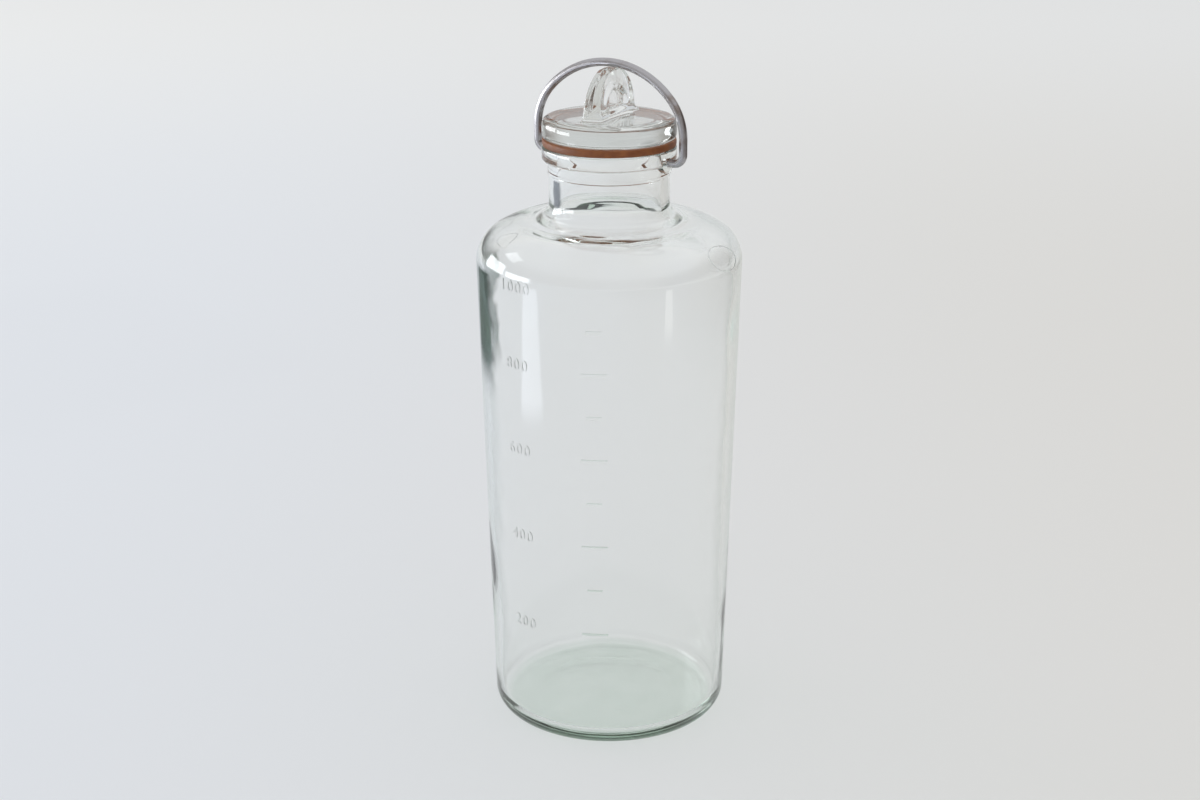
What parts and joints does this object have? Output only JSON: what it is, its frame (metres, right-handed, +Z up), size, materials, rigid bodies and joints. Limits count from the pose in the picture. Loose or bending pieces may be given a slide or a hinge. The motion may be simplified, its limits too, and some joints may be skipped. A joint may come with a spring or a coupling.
{
  "type": "graduated glass bottle with clamped lid",
  "caption": "Clear glass laboratory bottle with raised volume ticks, a rubber sealing ring and a finned glass lid held down by a swinging wire bail.",
  "frame": {"origin": "centre of the base on the surface that the bottle stands on", "axes": "+Z up along the bottle's axis; X along the line that the bail turns about; the ticks face between -Y and +X"},
  "size_m": [0.0972, 0.0972, 0.2506],
  "materials": {
    "bottle_glass": "clear, faintly green",
    "ring_rubber": "matt brown natural rubber",
    "lid_glass": "clear pressed glass",
    "bail_steel": "satin drawn wire"
  },
  "bodies": {
    "jar": {"bottle": "bottle_glass", "sealing_ring": "ring_rubber", "lid": "lid_glass"},
    "bail": {"bail": "bail_steel"}
  },
  "joints": [
    {"name": "bail_swing", "type": "hinge", "parent": "jar", "child": "bail", "pos_m": [0, 0, 0.21538], "axis": [1, 0, 0], "range_deg": [-120, 120]}
  ]
}
